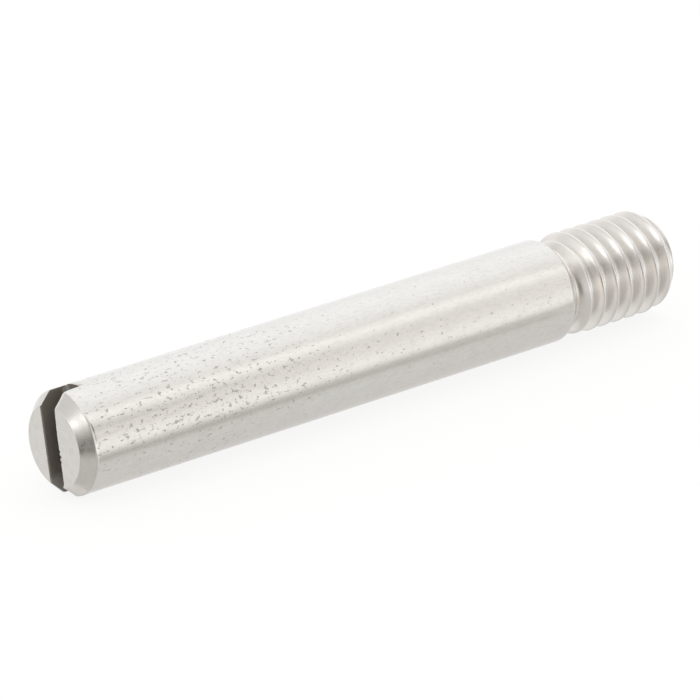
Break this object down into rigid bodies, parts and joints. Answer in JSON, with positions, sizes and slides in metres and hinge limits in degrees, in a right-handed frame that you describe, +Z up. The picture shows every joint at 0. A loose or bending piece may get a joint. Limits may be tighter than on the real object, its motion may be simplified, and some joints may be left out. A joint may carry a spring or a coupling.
{
  "type": "slotted set screw",
  "caption": "Headless slotted set screw with a long plain shank, a rounded shoulder and neck, and a short coarse thread with a chamfered tip.",
  "frame": {"origin": "centre of the underside: on the surface that the screw lies on, under the middle of its length", "axes": "+X along the screw from the slotted end to the threaded tip, +Z up from the surface that it lies on, +Y across"},
  "size_m": [0.0422, 0.006, 0.006],
  "materials": {
    "stainless_steel": "plain stainless steel, satin, with small dark specks of soil in its pits"
  },
  "bodies": {
    "root": {"set_screw": "stainless_steel"}
  },
  "joints": []
}
